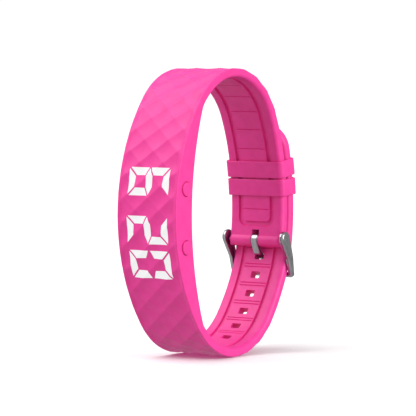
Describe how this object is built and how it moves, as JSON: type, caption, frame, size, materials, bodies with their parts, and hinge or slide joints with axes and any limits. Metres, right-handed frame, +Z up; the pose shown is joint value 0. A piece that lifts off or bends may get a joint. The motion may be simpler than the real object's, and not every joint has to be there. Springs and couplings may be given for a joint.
{
  "type": "fitness tracker band",
  "caption": "Silicone fitness tracker band with a curved lit display, side buttons, two keeper loops and a spring-bar buckle, drawn closed.",
  "frame": {"origin": "centre of the wrist opening, halfway across the band", "axes": "+X across the band towards the two buttons, -Y out of the display face, +Z up the long way of the opening"},
  "size_m": [0.0212, 0.0575, 0.0795],
  "materials": {
    "silicone": "moulded silicone, satin",
    "silicone_button": "moulded silicone, satin",
    "lit_segment": "white diffuser",
    "case_plastic": "moulded",
    "cover_plastic": "fine texture",
    "seal_rubber": "moulded",
    "screw_steel": "turned",
    "black_plastic": "moulded",
    "board_laminate": "solder mask",
    "led_ceramic": "moulded",
    "chip_resin": "moulded resin",
    "bright_steel": "plated",
    "contact_metal": "plated",
    "buckle_steel": "satin polished"
  },
  "bodies": {
    "band_assembly": {"band": "silicone", "display_segments": "lit_segment", "case_front": "case_plastic", "rear_cover": "cover_plastic", "cover_seal": "seal_rubber", "cover_screws": "screw_steel", "light_mask": "black_plastic", "circuit_board": "board_laminate", "display_leds": "led_ceramic", "microcontroller": "chip_resin", "motion_sensor": "chip_resin", "clock_crystal": "bright_steel", "coin_cell": "bright_steel", "contact_positive": "contact_metal", "contact_negative": "contact_metal", "switch_upper": "black_plastic", "switch_lower": "black_plastic", "spring_bar_tube": "bright_steel", "spring_bar_spring": "bright_steel"},
    "keeper_loop_upper": {"keeper_upper": "silicone"},
    "keeper_loop_lower": {"keeper_lower": "silicone"},
    "buckle": {"buckle_frame": "buckle_steel"},
    "tang": {"buckle_tang": "buckle_steel"},
    "bar_pin_left": {"spring_bar_pin_left": "bright_steel"},
    "bar_pin_right": {"spring_bar_pin_right": "bright_steel"},
    "button_top": {"button_upper": "silicone_button", "plunger_upper": "black_plastic"},
    "button_bottom": {"button_lower": "silicone_button", "plunger_lower": "black_plastic"}
  },
  "joints": [
    {"name": "keeper_upper_travel", "type": "hinge", "parent": "band_assembly", "child": "keeper_loop_upper", "pos_m": [0, -0.04312, 0.00051], "axis": [1, 0, 0], "range_deg": [0, 9]},
    {"name": "keeper_lower_travel", "type": "hinge", "parent": "band_assembly", "child": "keeper_loop_lower", "pos_m": [0, -0.04312, 0.00051], "axis": [1, 0, 0], "range_deg": [-6.5, 0]},
    {"name": "buckle_swing", "type": "hinge", "parent": "band_assembly", "child": "buckle", "pos_m": [0, 0.02235, -0.009], "axis": [1, 0, 0], "range_deg": [0, 4]},
    {"name": "tang_swing", "type": "hinge", "parent": "band_assembly", "child": "tang", "pos_m": [0, 0.02235, -0.009], "axis": [1, 0, 0], "range_deg": [0, 4]},
    {"name": "bar_pin_left_press", "type": "slide", "parent": "band_assembly", "child": "bar_pin_left", "axis": [1, 0, 0], "range_m": [0, 0.0008], "stiffness_N_per_m": 800, "springref_m": -0.0004, "deforming": ["spring_bar_spring"]},
    {"name": "bar_pin_right_press", "type": "slide", "parent": "band_assembly", "child": "bar_pin_right", "axis": [-1, 0, 0], "range_m": [0, 0.0008], "stiffness_N_per_m": 800, "springref_m": -0.0004, "deforming": ["spring_bar_spring"]},
    {"name": "button_upper_press", "type": "slide", "parent": "band_assembly", "child": "button_top", "axis": [-1, 0, 0], "range_m": [0, 0.00035], "stiffness_N_per_m": 2000, "springref_m": -0.0001},
    {"name": "button_lower_press", "type": "slide", "parent": "band_assembly", "child": "button_bottom", "axis": [-1, 0, 0], "range_m": [0, 0.00035], "stiffness_N_per_m": 2000, "springref_m": -0.0001}
  ],
  "couplings": [
    {"joint": "tang_swing", "follows": "buckle_swing", "ratio": 1}
  ]
}
